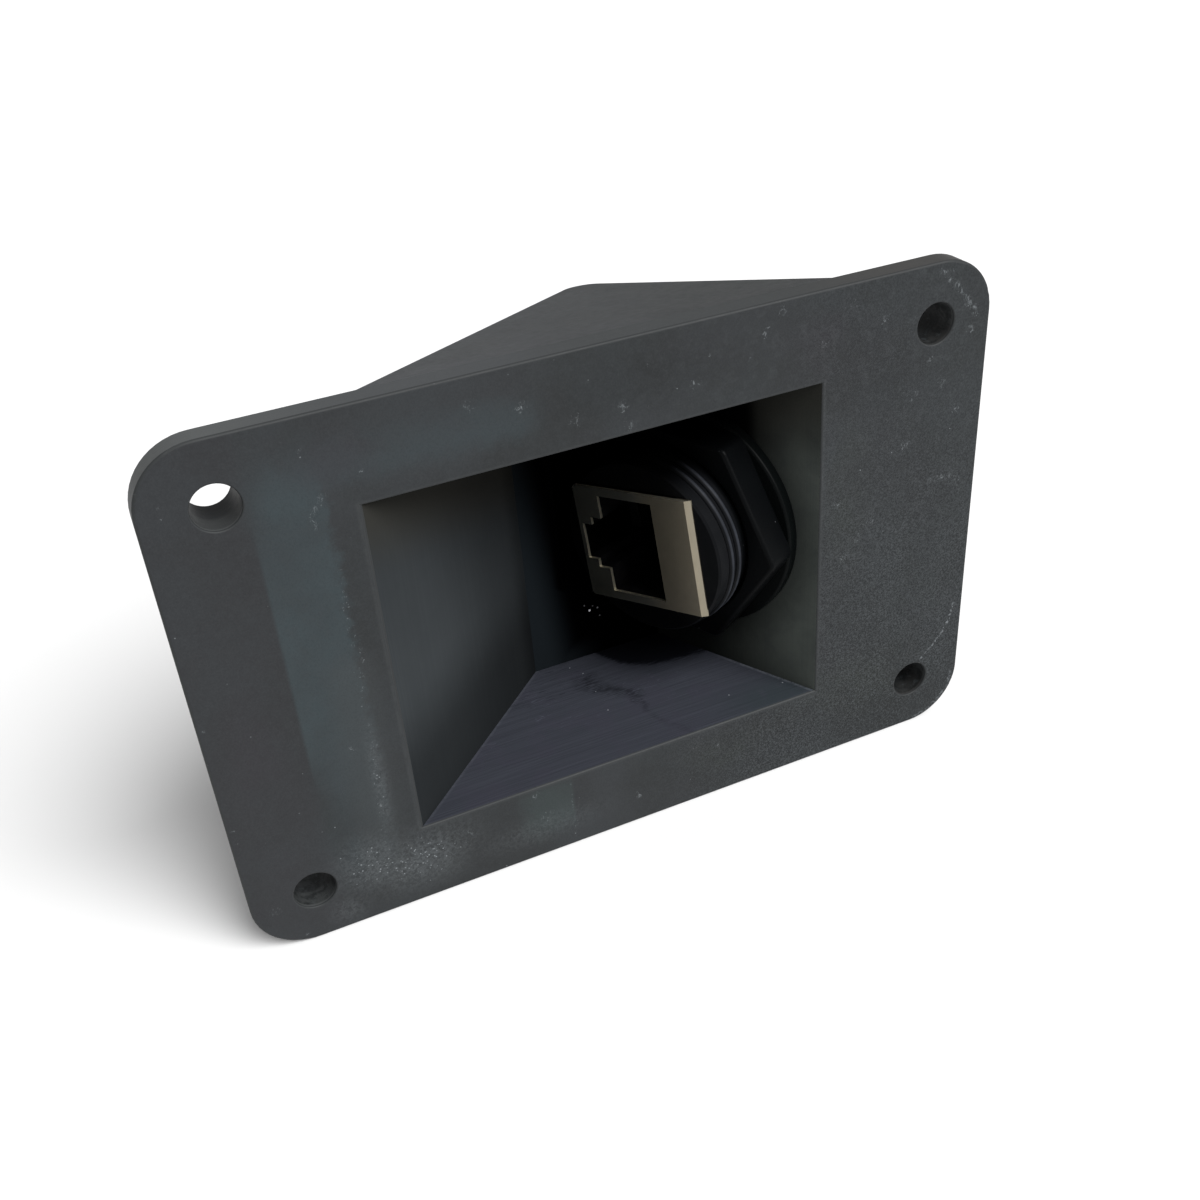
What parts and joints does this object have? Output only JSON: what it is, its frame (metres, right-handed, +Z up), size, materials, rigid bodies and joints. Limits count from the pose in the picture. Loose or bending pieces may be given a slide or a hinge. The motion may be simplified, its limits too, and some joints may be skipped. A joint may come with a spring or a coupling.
{
  "type": "waterproof ethernet wall port",
  "caption": "Recessed plastic wall port with a sealed network coupler held by a hex nut in its slanted inner wall.",
  "frame": {"origin": "centre of the four screw holes, on the flange's back face, which lies on the wall", "axes": "+X to the right seen from the room, +Y into the wall, +Z up; the recess opens to -Y"},
  "size_m": [0.09, 0.0355, 0.06],
  "materials": {
    "printed_plastic": "matte, fine print texture",
    "black_nylon": "satin",
    "rubber": "matte",
    "nickel": "nickel plated sheet",
    "insert_black": "moulded, satin",
    "contact_gold": "gold plated",
    "board_green": "satin"
  },
  "bodies": {
    "root": {"recess_housing": "printed_plastic", "coupler_body": "black_nylon", "hex_lock_nut": "black_nylon", "nut_washer": "black_nylon", "flange_gasket": "rubber", "module_seal": "rubber", "front_jack_shell": "nickel", "rear_jack_shell": "nickel", "front_jack_insert": "insert_black", "rear_jack_insert": "insert_black", "contact_board": "board_green", "front_contact_1": "contact_gold", "front_contact_2": "contact_gold", "front_contact_3": "contact_gold", "front_contact_4": "contact_gold", "front_contact_5": "contact_gold", "front_contact_6": "contact_gold", "front_contact_7": "contact_gold", "front_contact_8": "contact_gold", "rear_contact_1": "contact_gold", "rear_contact_2": "contact_gold", "rear_contact_3": "contact_gold", "rear_contact_4": "contact_gold", "rear_contact_5": "contact_gold", "rear_contact_6": "contact_gold", "rear_contact_7": "contact_gold", "rear_contact_8": "contact_gold"}
  },
  "joints": []
}
